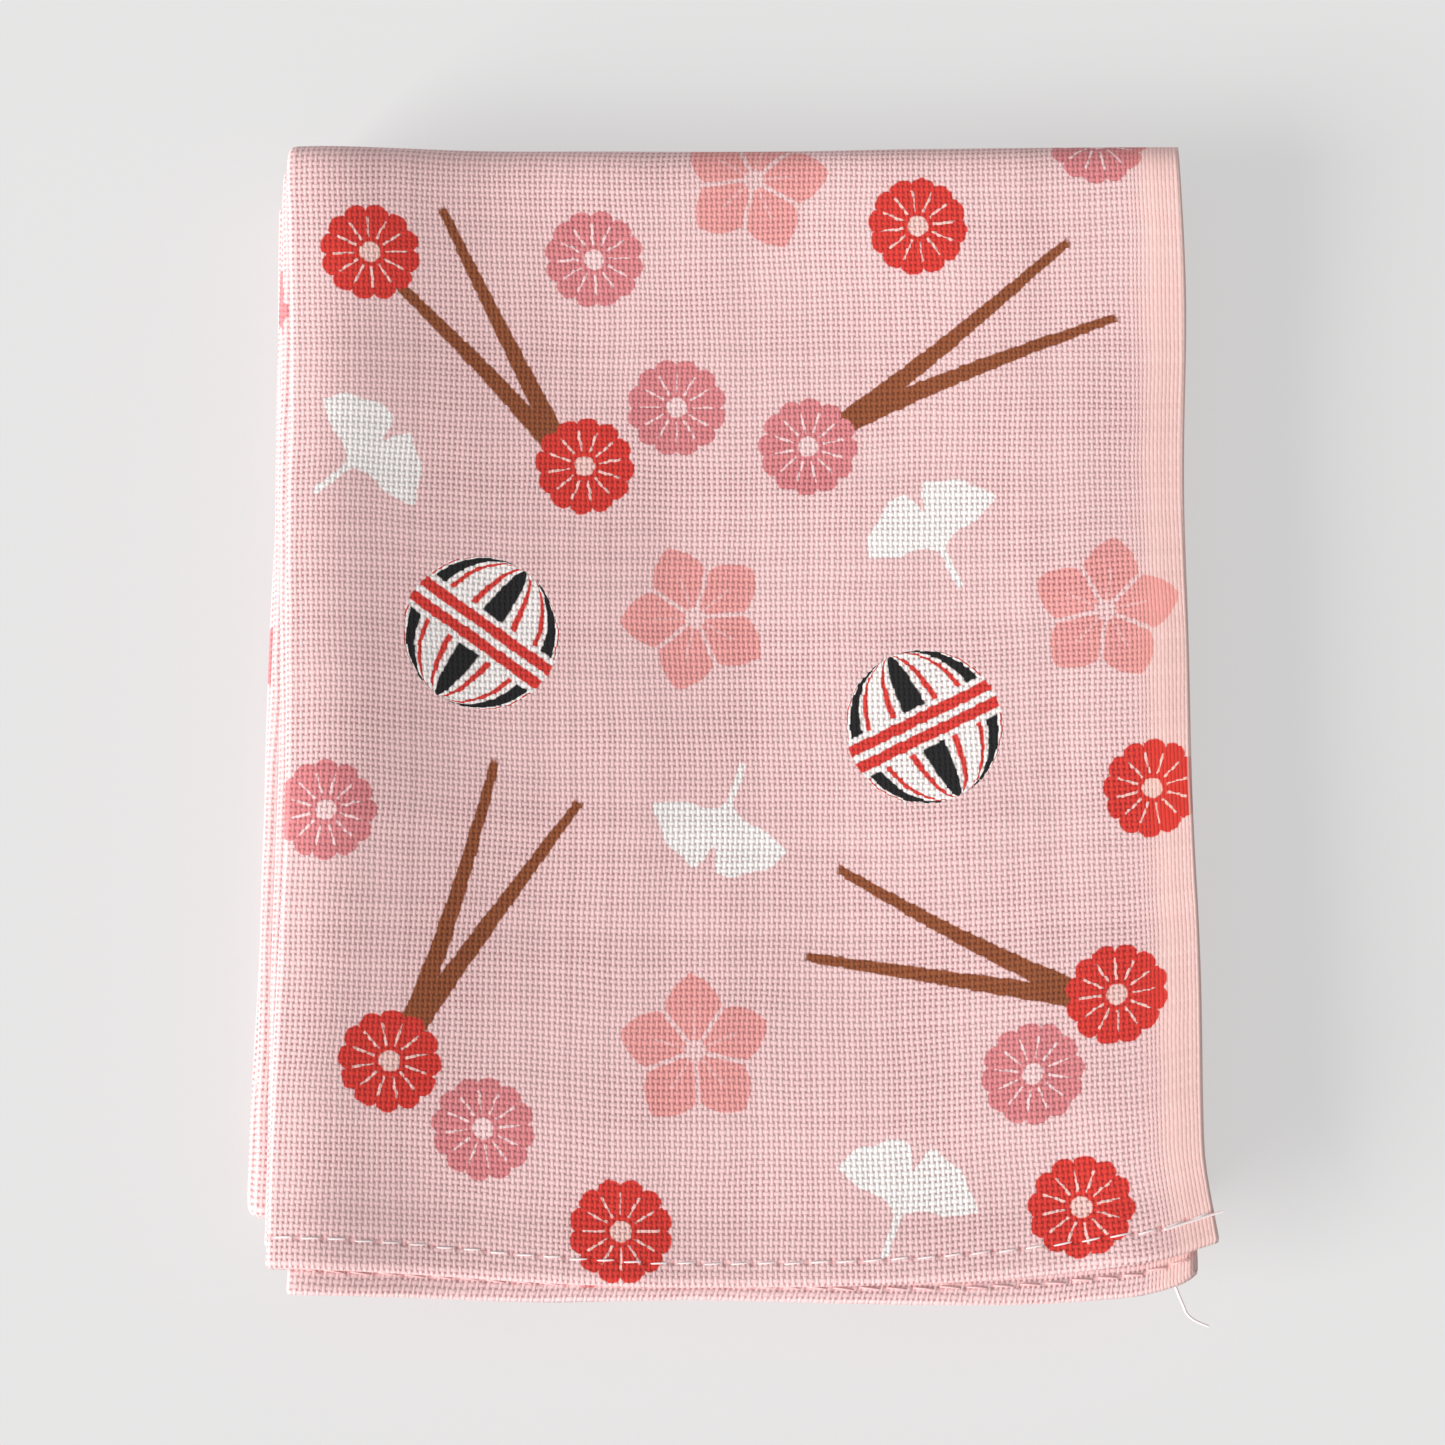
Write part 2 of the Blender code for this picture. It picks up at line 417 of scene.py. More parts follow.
def cloth_point(u, v, lift=0.0):
    """Points of the folded cloth: u across and v along the flat cloth, and lift out of its printed side.

    Below v = 0 and past the cloth's length lie the turned hems.
    """
    distance, pressed, at_hem, inset, face_across, face_out, inner = (
        np.interp(u, SECTION.u, values) for values in SECTION[1:]
    )
    to_hem = np.minimum(v, LENGTH - v)
    along = np.abs(to_hem)
    turned = np.clip(0.5 - to_hem / HEM_TURN, 0, 1)
    on_strip = np.where(v < LENGTH / 2, along, LENGTH - along)
    swell = 1 - smooth(along / HEM_SWELL_LENGTH)
    groove = GROOVE_DEPTH * np.exp(-(((along - stitch_line(u)) / GROOVE_WIDTH) ** 2))
    out = lift - HEM_GAP * turned - groove * (1 - 2 * turned)
    offset = pressed + (at_hem - pressed) * swell + face_out * out
    uneven = sum(wave.size * np.sin(wave.per_metre_along * on_strip + wave.per_metre_out * pressed)
                 for wave in END_WAVES)
    share = np.clip(distance / STRIP_WIDTH, 0, 1)
    inset = inset + HEM_END_INSET * turned
    distance = distance + (uneven - inset) * share ** END_WANE
    distance = distance + face_across * (lift - HEM_GAP * turned)
    distance = distance + HEM_SKEW * along * turned * np.sin(math.pi * share)
    return strip_point(on_strip, distance, offset, inner)


def hem_steps():
    """Lengths from a hem's edge to the end of its turned strip."""
    return HEM_TURN + (HEM_WIDTH - HEM_TURN) * np.linspace(0, 1, HEM_STEPS) ** HEM_STEPS_POWER


def cloth_rows():
    """The lengths along the cloth at which it has a row of points, turned hems included."""
    clear = ROWS_NEAR_HEM[-1] + LEAST_ROW_GAP
    path = PATH.v[(PATH.v > clear) & (PATH.v < LENGTH - clear)]
    start = np.concatenate([-hem_steps()[::-1], [0], ROWS_NEAR_HEM])
    end = LENGTH - start[::-1]
    return np.concatenate([start, path, end])


def cloth_mesh():
    """A flat grid whose points are put where the folds take them, with the flat cloth kept as its UV map."""
    us, vs = SECTION.u, cloth_rows()
    shape = bmesh.new()
    bmesh.ops.create_grid(shape, x_segments=len(us) - 1, y_segments=len(vs) - 1, size=0.5)
    flat = shape.loops.layers.uv.new("flat_cloth")
    column = np.array([round((point.co.x + 0.5) * (len(us) - 1)) for point in shape.verts])
    row = np.array([round((point.co.y + 0.5) * (len(vs) - 1)) for point in shape.verts])
    places = np.stack(cloth_point(us[column], vs[row]), axis=1)
    for point, place in zip(shape.verts, places):
        point.co = place
    for face in shape.faces:
        for corner in face.loops:
            index = corner.vert.index
            corner[flat].uv = (WIDTH - us[column[index]], vs[row[index]])
    # The cloth's front is its printed side
    bmesh.ops.reverse_faces(shape, faces=shape.faces)
    mesh = bpy.data.meshes.new("towel_cloth")
    shape.to_mesh(mesh)
    shape.free()
    mesh.shade_smooth()
    return mesh


def add_object(name, data):
    thing = bpy.data.objects.new(name, data)
    bpy.context.scene.collection.objects.link(thing)
    return thing


def make_cloth(printed, reverse):
    cloth = add_object("towel_cloth", cloth_mesh())
    cloth.data.materials.append(printed)
    cloth.data.materials.append(reverse)
    thicken = cloth.modifiers.new("thickness", "SOLIDIFY")
    thicken.thickness = CLOTH_THICKNESS
    thicken.offset = 0.0
    thicken.material_offset = 1
    return cloth


def add_thread(curve, points, radii, slot=0):
    spline = curve.splines.new("POLY")
    spline.points.add(len(points) - 1)
    for spot, point, radius in zip(spline.points, points, radii):
        spot.co = (*point, 1)
        spot.radius = radius
    spline.use_smooth = True
    spline.material_index = slot


def add_stitches(curve):
    """Machine stitches along both hems, on both sides of the cloth."""
    share = np.linspace(0, 1, STITCH_STEPS + 1)
    arch = np.sin(math.pi * share).clip(0) ** STITCH_ROUNDNESS
    radii = STITCH_END_RADIUS + (1 - STITCH_END_RADIUS) * arch
    half = CLOTH_THICKNESS / 2
    dip = STITCH_RISE + STITCH_DIP
    sides = ((half + STITCH_RISE, dip), (-half - HEM_GAP - STITCH_RISE, -dip))
    for number in range(int(WIDTH / STITCH_PITCH)):
        u = (number + STITCH_START) * STITCH_PITCH + STITCH_LENGTH * share
        wander = STITCH_WANDER * math.sin(WANDER_PER_STITCH * number)
        inset = stitch_line(u) + STITCH_SLANT * (0.5 - share) + wander
        for v in (inset, LENGTH - inset):
            for slot, (top, depth) in enumerate(sides):
                points = np.stack(cloth_point(u, v, top - depth * (1 - arch)), axis=1)
                add_thread(curve, points, radii, slot)


def smooth_route(route):
    """Points on a smooth curve through those of a route."""
    at = np.arange(len(route))
    finer = np.linspace(0, len(route) - 1, LOOSE_STEPS * (len(route) - 1) + 1)
    tables = (np.stack([at, route[:, axis]], axis=1) for axis in range(3))
    return np.stack([lookup(table, finer) for table in tables], axis=1)


def add_loose_ends(curve):
    u = np.array(LAST_STITCHES)
    lift = CLOTH_THICKNESS / 2 + THREAD_RADIUS
    on_cloth = np.stack(cloth_point(u, stitch_line(u) - LAST_STITCHES_ASIDE, lift), axis=1)
    beyond = [on_cloth[-1] + (step, PAST_SELVEDGE_TURN * step, 0.0) for step in PAST_SELVEDGE]
    for route in (np.concatenate([on_cloth, beyond]), np.array(LOOSE_THREAD)):
        points = smooth_route(route)
        add_thread(curve, points, np.linspace(*LOOSE_RADII, len(points)))


def make_stitches(needle_thread, bobbin_thread):
    """All the sewing thread: the needle's shows on the printed side, and the bobbin's on the reverse."""
    curve = bpy.data.curves.new("hem_stitches", "CURVE")
    curve.dimensions = "3D"
    curve.bevel_depth = THREAD_RADIUS
    curve.bevel_resolution = 1
    curve.use_fill_caps = True
    curve.materials.append(needle_thread)
    curve.materials.append(bobbin_thread)
    add_stitches(curve)
    add_loose_ends(curve)
    return add_object("hem_stitches", curve)


class Field:
    """A value that varies over a surface, which is an output of one of its material's nodes."""

    def __init__(self, socket):
        self.socket = socket
        self.tree = socket.id_data

    def __add__(self, other):
        return maths("ADD", self, other)

    def __sub__(self, other):
        return maths("SUBTRACT", self, other)

    def __rsub__(self, other):
        return maths("SUBTRACT", other, self)

    def __mul__(self, other):
        return maths("MULTIPLY", self, other)

    def __truediv__(self, other):
        return maths("DIVIDE", self, other)

    def __pow__(self, other):
        return maths("POWER", self, other)

    __radd__ = __add__
    __rmul__ = __mul__


def add_node(tree, kind, inputs, **settings):
    """Adds a node, and gives each of its named or numbered inputs a constant or a Field."""
    node = tree.nodes.new(kind)
    for name, value in settings.items():
        setattr(node, name, value)
    for name, value in inputs.items():
        if isinstance(value, Field):
            tree.links.new(value.socket, node.inputs[name])
        else:
            node.inputs[name].default_value = value
    return node


def tree_of(*values):
    return next(value.tree for value in values if isinstance(value, Field))


def maths(operation, *values):
    node = add_node(tree_of(*values), "ShaderNodeMath", dict(enumerate(values)), operation=operation)
    return Field(node.outputs["Value"])


def vector_maths(operation, first, *others, output="Vector"):
    inputs = dict(enumerate((first, *others)))
    node = add_node(first.tree, "ShaderNodeVectorMath", inputs, operation=operation)
    return Field(node.outputs[output])


# The mix node has its own first value and its own result for each kind of value, with these numbers
MIX_SOCKETS = {"VECTOR": (4, 1), "RGBA": (6, 2)}


def mix(share, low, high, kind="RGBA", blend="MIX"):
    """Blends two colours or vectors."""
    first, out = MIX_SOCKETS[kind]
    inputs = {0: share, first: low, first + 1: high}
    node = add_node(tree_of(share, low, high), "ShaderNodeMix", inputs, data_type=kind, blend_type=blend)
    return Field(node.outputs[out])


def ramp(value, start, end, low=0.0, high=1.0):
    """Goes smoothly from low at the start to high at the end."""
    inputs = {"Value": value, "From Min": start, "From Max": end, "To Min": low, "To Max": high}
    node = add_node(value.tree, "ShaderNodeMapRange", inputs, interpolation_type="SMOOTHSTEP")
    return Field(node.outputs["Result"])


def split(vector):
    node = add_node(vector.tree, "ShaderNodeSeparateXYZ", {"Vector": vector})
    return [Field(output) for output in node.outputs]


def combine(x, y, z=0.0):
    node = add_node(x.tree, "ShaderNodeCombineXYZ", {"X": x, "Y": y, "Z": z})
    return Field(node.outputs["Vector"])


def noise(place, scale, detail=1.0):
    """Smooth noise from 0 to 1."""
    inputs = {"Vector": place, "Scale": scale, "Detail": detail}
    node = add_node(place.tree, "ShaderNodeTexNoise", inputs)
    return Field(node.outputs["Fac"])


def one_each(number):
    """A number from 0 to 1 that is the same for a whole yarn, from the yarn's own number."""
    node = add_node(number.tree, "ShaderNodeTexWhiteNoise", {"W": number}, noise_dimensions="1D")
    return Field(node.outputs["Value"])


def bump(height, distance):
    node = add_node(height.tree, "ShaderNodeBump", {"Height": height, "Distance": distance})
    return Field(node.outputs["Normal"])


def new_material(name, constants):
    """A material with some of its shader's inputs set, and that shader."""
    material = bpy.data.materials.new(name)
    material.use_nodes = True
    shader = material.node_tree.nodes["Principled BSDF"]
    for socket, value in constants.items():
        shader.inputs[socket].default_value = value
    return material, shader


def drive(shader, fields):
    """Links fields to some of a shader's inputs."""
    for socket, field in fields.items():
        field.tree.links.new(field.socket, shader.inputs[socket])


def srgb(red, green, blue):
    """A colour from its 0 to 255 screen values."""
    shares = [value / 255 for value in (red, green, blue)]
    linear = [share / 12.92 if share <= 0.04045 else ((share + 0.055) / 1.055) ** 2.4 for share in shares]
    return (*linear, 1.0)


# The print's colours. Its ground is a little deeper in broad patches.
GROUND = srgb(249, 208, 208)
GROUND_DEPTH = 0.95
PATCHES_PER_MM = 0.05
RED = srgb(222, 62, 54)
RED_DETAIL = srgb(250, 205, 198)
ROSE = srgb(226, 138, 142)
ROSE_DETAIL = srgb(252, 214, 214)
CORAL = srgb(242, 165, 162)
WHITE = srgb(253, 247, 245)
BROWN = srgb(150, 84, 52)
BLACK = srgb(33, 32, 34)

# The print repeats each 94 x 118 mm. Every kind of motif has its places in the repeat: millimetres to the
# right of the top ply's left fold, millimetres from its hem, and the turn in degrees.
REPEAT = (94, 118)
NEEDLE_PAIRS = ((20, 90, 35), (66, 90, -60), (66, 30, 70), (18, 34, -25))
BELLFLOWERS = ((40, 64, 40), (80, 64, 10), (40, 22, 22), (46, 108, 5))
GINKGO_LEAVES = ((63, 73, 25), (42, 43, 160), (60, 9, -20), (8, 80, -50))
ROSE_ROUNDELS = ((38, 85, 0), (51, 81, 12), (72, 19, 20), (20, 14, 8), (30, 100, 3), (4, 44, 15),
                 (80, 112, 9))
RED_ROUNDELS = ((29, 79, 11), (8, 100, 4), (62, 103, 7), (80, 26, 2), (11, 20, 13), (76, 6, 6),
                (84, 46, 10), (33, 5, 1))
TEMARI_BALLS = ((62, 53, 25), (19, 62, -35))

# How far from a motif's middle the print looks for it, in millimetres
NEEDLE_REACH = 18
BELLFLOWER_REACH = 8
GINKGO_REACH = 8.5
ROUNDEL_REACH = 5.2
TEMARI_REACH = 8

# A motif's turn rides in the third part of its place, so small that its distance isn't changed
TURN_SHARE = 1e-5

# Where a point lies from a motif when none reaches it
FAR_AWAY = (1000.0, 1000.0, 0.0)

# How far the print's edges blur to each side, in millimetres
PRINT_SOFTNESS = 0.09


def nearest_motif(place, motifs, reach):
    """Where a point lies from the middle of the motif that reaches it, turned back with that motif."""
    half = (REPEAT[0] / 2, REPEAT[1] / 2, 1.0)
    other_half = tuple(-side for side in half)
    local = FAR_AWAY
    for across, along, turn in motifs:
        middle = (across, along, -math.radians(turn) * TURN_SHARE)
        offset = vector_maths("WRAP", vector_maths("SUBTRACT", place, middle), half, other_half)
        near = maths("LESS_THAN", vector_maths("LENGTH", offset, output="Value"), reach)
        local = mix(near, local, offset, "VECTOR")
    angle = split(local)[2] / -TURN_SHARE
    inputs = {"Vector": local, "Angle": angle}
    turned = add_node(place.tree, "ShaderNodeVectorRotate", inputs, rotation_type="Z_AXIS")
    return split(Field(turned.outputs["Vector"]))[:2]


def inside(depth):
    """1 where a depth in millimetres is more than 0, with the print's soft edge."""
    return ramp(depth, -PRINT_SOFTNESS, PRINT_SOFTNESS)


def polar(x, y):
    return maths("SQRT", x * x + y * y), maths("ARCTAN2", y, x)


# A roundel, in millimetres. The notches between its petals are a share of its radius.
ROUNDEL_RADIUS = 4.9
ROUNDEL_PETALS = 12
ROUNDEL_NOTCH = 0.14
ROUNDEL_NOTCH_POWER = 0.5
ROUNDEL_HEART = 1.0
ROUNDEL_LINE_ENDS = (1.5, 3.6)
ROUNDEL_LINE_WIDTH = 0.62


def roundel(x, y):
    """A round flower of narrow petals: its shape, and the fine lines and heart drawn in it."""
    radius, angle = polar(x, y)
    across_petal = maths("ABSOLUTE", maths("SINE", angle * (ROUNDEL_PETALS / 2)))
    rim = ROUNDEL_RADIUS * (1 - ROUNDEL_NOTCH + ROUNDEL_NOTCH * across_petal ** ROUNDEL_NOTCH_POWER)
    near, far = ROUNDEL_LINE_ENDS
    on_line = inside(ROUNDEL_LINE_WIDTH - across_petal * radius)
    lines = on_line * inside(radius - near) * inside(far - radius)
    heart = inside(ROUNDEL_HEART - radius)
    return inside(rim - radius), maths("MAXIMUM", lines, heart)


# A bellflower, in millimetres. The notches between its petals are a share of its radius.
BELLFLOWER_RADIUS = 7.4
BELLFLOWER_PETALS = 5
BELLFLOWER_NOTCH = 0.38
BELLFLOWER_NOTCH_POWER = 0.8
BELLFLOWER_HALF_GAP = 0.22
BELLFLOWER_HEART = 1.0
VEIN_LENGTH = 4.2
VEIN_HALF_WIDTH = 0.12
VEIN_PALENESS = 0.5


def bellflower(x, y):
    """How strongly a flower of broad pointed petals is printed: not in its gaps, and half in its veins."""
    radius, angle = polar(x, y)
    half_petal = math.pi / BELLFLOWER_PETALS
    off_axis = maths("PINGPONG", angle * (BELLFLOWER_PETALS / (2 * math.pi)), 0.5) * 2
    to_gap = radius * (1 - off_axis) * half_petal
    share = 1 - BELLFLOWER_NOTCH + BELLFLOWER_NOTCH * (1 - off_axis) ** BELLFLOWER_NOTCH_POWER
    rim = BELLFLOWER_RADIUS * share
    vein = inside(VEIN_HALF_WIDTH - radius * off_axis * half_petal) * inside(VEIN_LENGTH - radius)
    petals = inside(rim - radius) * inside(to_gap - BELLFLOWER_HALF_GAP) * inside(radius - BELLFLOWER_HEART)
    return petals * (1 - VEIN_PALENESS * vein)


# A ginkgo leaf, in millimetres and radians. The notch in its edge and the opening of its fan are ramps.
GINKGO_RADIUS = 7.6
GINKGO_FOOT = 3.5
GINKGO_WAVE = 0.15
GINKGO_WAVES = 13
GINKGO_NOTCH = (0.0, 0.16, 0.66, 1.0)
GINKGO_SPREAD = 1.15
GINKGO_OPENING = (0.0, 5.0, 0.45, 1.0)
STALK_HALF_WIDTH = 0.32
STALK_FOOT = 7.0
STALK_TOP = 3.0


def ginkgo_leaf(x, y):
    """A fan with a notch in the middle of its edge, on a short stalk."""
    radius, angle = polar(y + GINKGO_FOOT, x)
    aside = maths("ABSOLUTE", angle)
    wavy = GINKGO_WAVE * maths("SINE", angle * GINKGO_WAVES)
    rim = GINKGO_RADIUS * ramp(aside, *GINKGO_NOTCH) + wavy
    spread = GINKGO_SPREAD * ramp(radius, *GINKGO_OPENING)
    fan = inside(rim - radius) * inside((spread - aside) * radius)
    on_stalk = inside(STALK_HALF_WIDTH - maths("ABSOLUTE", x))
    stalk = on_stalk * inside(y + STALK_FOOT) * inside(-STALK_TOP - y)
    return maths("MAXIMUM", fan, stalk)


# A thread ball: millimetres from its middle and its belt, and shares of the turn from band to band
TEMARI_RADIUS = 7.6
TEMARI_BANDS = 3
BAND_EDGE = (0.33, 0.36)
LINE_AT = 0.2
LINE_EDGE = (0.06, 0.03)
BELT_EDGES = (0.35, 1.45)
BELT_CLEARANCE = 2.0
LEAST_CHORD_SQUARED = 0.01


def temari_ball(x, y):
    """A thread ball: its shape, the dark bands and fine lines from pole to pole, and its belt."""
    radius, _ = polar(x, y)
    half_chord = maths("SQRT", maths("MAXIMUM", TEMARI_RADIUS ** 2 - y * y, LEAST_CHORD_SQUARED))
    turn = maths("ARCSINE", maths("MINIMUM", maths("MAXIMUM", x / half_chord, -1.0), 1.0))
    across_band = maths("PINGPONG", turn * (TEMARI_BANDS / math.pi) + 0.5, 0.5)
    from_belt = maths("ABSOLUTE", y)
    clear = inside(from_belt - BELT_CLEARANCE)
    bands = ramp(across_band, *BAND_EDGE) * clear
    lines = ramp(maths("ABSOLUTE", across_band - LINE_AT), *LINE_EDGE) * clear
    belt = inside(BELT_EDGES[1] - from_belt) * inside(from_belt - BELT_EDGES[0])
    return inside(TEMARI_RADIUS - radius), bands, maths("MAXIMUM", lines, belt)


# A pair of pine needles, in millimetres. They curve apart by a power of the share of their length.
NEEDLE_LENGTH = 30
NEEDLE_SPREAD = 4.5
NEEDLE_CURVE = 1.3
NEEDLE_WIDTH = 2.2
NEEDLE_TAPER = 0.3
NEEDLE_END_SHARPNESS = 9


def needle_pair(x, y):
    """Two long pine needles that spread from one end."""
    along = (y + NEEDLE_LENGTH / 2) / NEEDLE_LENGTH
    middle = NEEDLE_SPREAD * maths("MAXIMUM", along, 0.0) ** NEEDLE_CURVE
    half_width = NEEDLE_WIDTH * (0.5 - NEEDLE_TAPER * along)
    ends = inside((1 - along) * NEEDLE_END_SHARPNESS) * inside(along * NEEDLE_END_SHARPNESS)
    return inside(half_width - maths("ABSOLUTE", maths("ABSOLUTE", x) - middle)) * ends


def printed_colour(place):
    """The print's colour at a place in millimetres."""
    colour = mix(noise(place, PATCHES_PER_MM), GROUND, tuple(GROUND_DEPTH * part for part in GROUND))
    colour = mix(needle_pair(*nearest_motif(place, NEEDLE_PAIRS, NEEDLE_REACH)), colour, BROWN)
    colour = mix(bellflower(*nearest_motif(place, BELLFLOWERS, BELLFLOWER_REACH)), colour, CORAL)
    colour = mix(ginkgo_leaf(*nearest_motif(place, GINKGO_LEAVES, GINKGO_REACH)), colour, WHITE)
    for motifs, main, detail in ((ROSE_ROUNDELS, ROSE, ROSE_DETAIL), (RED_ROUNDELS, RED, RED_DETAIL)):
        shape, drawn = roundel(*nearest_motif(place, motifs, ROUNDEL_REACH))
        colour = mix(shape, colour, mix(drawn, main, detail))
    ball, bands, red_thread = temari_ball(*nearest_motif(place, TEMARI_BALLS, TEMARI_REACH))
    return mix(ball, colour, mix(red_thread, mix(bands, WHITE, BLACK), RED))


# The weave: distances in metres on the flat cloth. The warp runs along the cloth and the weft across it.
WARP_PITCH = 0.00052
WEFT_PITCH = 0.000584
SELVEDGE_WIDTH = 0.0052
SELVEDGE_CROWDING = 0.35
SELVEDGE_BLEND = (0.0068, 0.0024)
BUMP_HEIGHT = 0.000042

# How many pitches the yarns wander, slowly and then quickly, and how many turns that takes a metre. The
# weft reads its slow noise at another place than the warp does.
WARP_BEND = 2.4
WARP_BEND_SCALE = 45
WEFT_BEND = 2.6
WEFT_BEND_SCALE = 40
WEFT_BEND_PLACE = (3.0, 7.0, 0.0)
FINE_BEND = 0.5
FINE_BEND_ACROSS_YARN = 400
FINE_BEND_ALONG_YARN = 150

# Half the width of a yarn, in pitches, and what a thicker yarn, a slub and the selvedge add to it
WARP_HALF_WIDTH = 0.295
WEFT_HALF_WIDTH = 0.315
THICK_YARN = 0.05
SLUB = 0.09
SLUBS_PER_METRE = 260
WARP_SLUB_SEED = 5.1
WEFT_SLUB_SEED = 5.3
WEFT_SEED = 0.37
WARP_AT_SELVEDGE = 0.17
WEFT_AT_SELVEDGE = 0.05

# How high a yarn's crest is over the bottom of the gaps, midway, and how far it swings up and down. At the
# selvedge this share of the warp's dips is filled, and the weft sinks so far.
YARN_CREST = 1.55
YARN_SWING = 0.45
DIP_FILLED = 0.6
WEFT_SUNK = 0.4

# Ink sits on whole yarns: how much of a pitch it follows them, and how far it creeps, in millimetres
YARN_SNAP = 0.2
INK_CREEP = 0.12
MM_PER_METRE = 1000

# What the weave, the cloth's reverse and painted highlight and shade do to the print's colour. A ramp is its
# start, its end and what it gives at each.
REVERSE_PALENESS = 0.25
SELVEDGE_TINT = (1.0, 0.97, 0.90, 1.0)
SELVEDGE_TINTED = 0.8
# Painted highlight on the yarns' crowns and painted shade in their low parts, lighter at the selvedge
SELVEDGE_RAISED = 0.3
WEAVE_PAINTED_LIGHT_RAMP = (0.05, 1.0, 0.82, 1.07)
YARN_TONE = 0.95
YARN_TONE_SWING = 0.06
FIBRE_SCALE = 5200
FIBRE_TONE = 0.93
FIBRE_TONE_SWING = 0.14
OPENNESS_SCALE = 110
OPENNESS_RAMP = (0.36, 0.66, 0.38, 1.0)
SELVEDGE_CLOSED = 0.7
# Painted shade of the ply beneath in the weave's gaps, more where the weave is open
GAP_RAMP = (0.0, -0.9)
GAP_PAINTED_SHADE = (0.68, 0.44, 0.46, 1.0)
# Painted highlight along the cloth's sides, on the selvedge cord
CORD_WIDTH = 0.0005
CORD_RAMP = (CORD_WIDTH, CORD_WIDTH * 0.6, 0.0, 0.6)
CORD_PAINTED_HIGHLIGHT = srgb(255, 222, 215)
# Painted shade in the stitches' pits
PIT_PAINTED_SHADE = (0.90, 0.76, 0.76, 1.0)
PIT_RAMP = (0.0005, 0.0001)

# What the weave, its fibres and the stitches' pits do to the cloth's relief and roughness
SELVEDGE_FLATNESS = 0.45
FIBRE_RELIEF = 0.35
PIT_DEPTH = 1.5
COTTON_ROUGHNESS = 0.82
COTTON_ROUGHNESS_SWING = 0.12
COTTON_CONSTANTS = {"Sheen Weight": 0.18, "Sheen Roughness": 0.5, "Specular IOR Level": 0.2}

# The sewing threads. The needle thread's pink is painted light, bounced off the pink cloth.
THREAD_WHITE = srgb(255, 248, 247)
THREAD_BOUNCE_PINK = srgb(246, 224, 224)
BOBBIN_PINK = srgb(250, 206, 205)
BOBBIN_SHADE = srgb(236, 184, 184)
THREAD_ROUGHNESS = 0.55
THREAD_ROUGHNESS_SWING = 0.2
THREAD_CONSTANTS = {"Sheen Weight": 0.2}

# What the weave is at a place: its height, a number from 0 to 1 for each of its two yarns, how many pitches
# the place lies off their middles, how much it is in the selvedge, and its distance from the cloth's side
Weave = namedtuple("Weave", "height warp weft warp_off weft_off selvedge edge")


def weave(flat):
    """Plain weave. Its height is from -1 in the gaps to 1 on the crowns of the yarns."""
    x, y, _ = split(flat)
    from_left, from_right = x, WIDTH - x
    crowd_left = maths("MAXIMUM", SELVEDGE_WIDTH - from_left, 0.0)
    crowd_right = maths("MAXIMUM", SELVEDGE_WIDTH - from_right, 0.0)
    edge = maths("MINIMUM", from_left, from_right)
    selvedge = ramp(edge, *SELVEDGE_BLEND)

    def fine_bend(scale_x, scale_y):
        return noise(combine(x * scale_x, y * scale_y), 1.0) * FINE_BEND

    bend = noise(flat, WARP_BEND_SCALE, detail=2.0) * WARP_BEND
    bend = bend + fine_bend(FINE_BEND_ACROSS_YARN, FINE_BEND_ALONG_YARN)
    warp = (x + SELVEDGE_CROWDING * (crowd_right - crowd_left)) / WARP_PITCH + bend
    weft_place = vector_maths("ADD", flat, WEFT_BEND_PLACE)
    weft = y / WEFT_PITCH + noise(weft_place, WEFT_BEND_SCALE, detail=2.0) * WEFT_BEND
    weft = weft + fine_bend(FINE_BEND_ALONG_YARN, FINE_BEND_ACROSS_YARN)

    warp_number, weft_number = maths("FLOOR", warp), maths("FLOOR", weft)
    warp_off, weft_off = warp - warp_number - 0.5, weft - weft_number - 0.5
    warp_own, weft_own = one_each(warp_number), one_each(weft_number + WEFT_SEED)
    warp_slub = noise(combine(warp_number * WARP_SLUB_SEED, y * SLUBS_PER_METRE), 1.0) * SLUB
    weft_slub = noise(combine(weft_number * WEFT_SLUB_SEED, x * SLUBS_PER_METRE), 1.0) * SLUB
    warp_half = WARP_HALF_WIDTH + warp_own * THICK_YARN + warp_slub + selvedge * WARP_AT_SELVEDGE
    weft_half = WEFT_HALF_WIDTH + weft_own * THICK_YARN + weft_slub + selvedge * WEFT_AT_SELVEDGE

    def ridge(off, half, over):
        round_top = maths("SQRT", maths("MAXIMUM", 1 - (off / half) ** 2, 0.0))
        return round_top * (YARN_CREST + YARN_SWING * over) - 1

    warp_over = maths("COSINE", (warp_number + weft - 0.5) * math.pi)
    weft_over = maths("COSINE", (weft_number + warp - 0.5) * math.pi) * -1
    ribs = ridge(warp_off, warp_half, warp_over + selvedge * DIP_FILLED * (1 - warp_over))
    height = maths("MAXIMUM", ribs, ridge(weft_off, weft_half, weft_over) - selvedge * WEFT_SUNK)
    return Weave(height, warp_own, weft_own, warp_off, weft_off, selvedge, edge)


def stitch_pits(flat):
    """1 in the small pits between the stitches along both hems."""
    x, y, _ = split(flat)
    u = WIDTH - x
    to_hem = maths("ABSOLUTE", maths("MINIMUM", y, LENGTH - y))
    step = ramp(u, *STITCH_STEP_AT, 0.0, STITCH_STEP)
    line = STITCH_INSET + STITCH_SWAY * maths("COSINE", u * (2 * math.pi / STRIP_WIDTH)) - step
    gap_middle = STITCH_START - (1 - STITCH_LENGTH / STITCH_PITCH) / 2
    along = maths("PINGPONG", maths("ABSOLUTE", u / STITCH_PITCH - gap_middle), 0.5) * STITCH_PITCH
    across = to_hem - line
    return ramp(maths("SQRT", along * along + across * across), *PIT_RAMP)


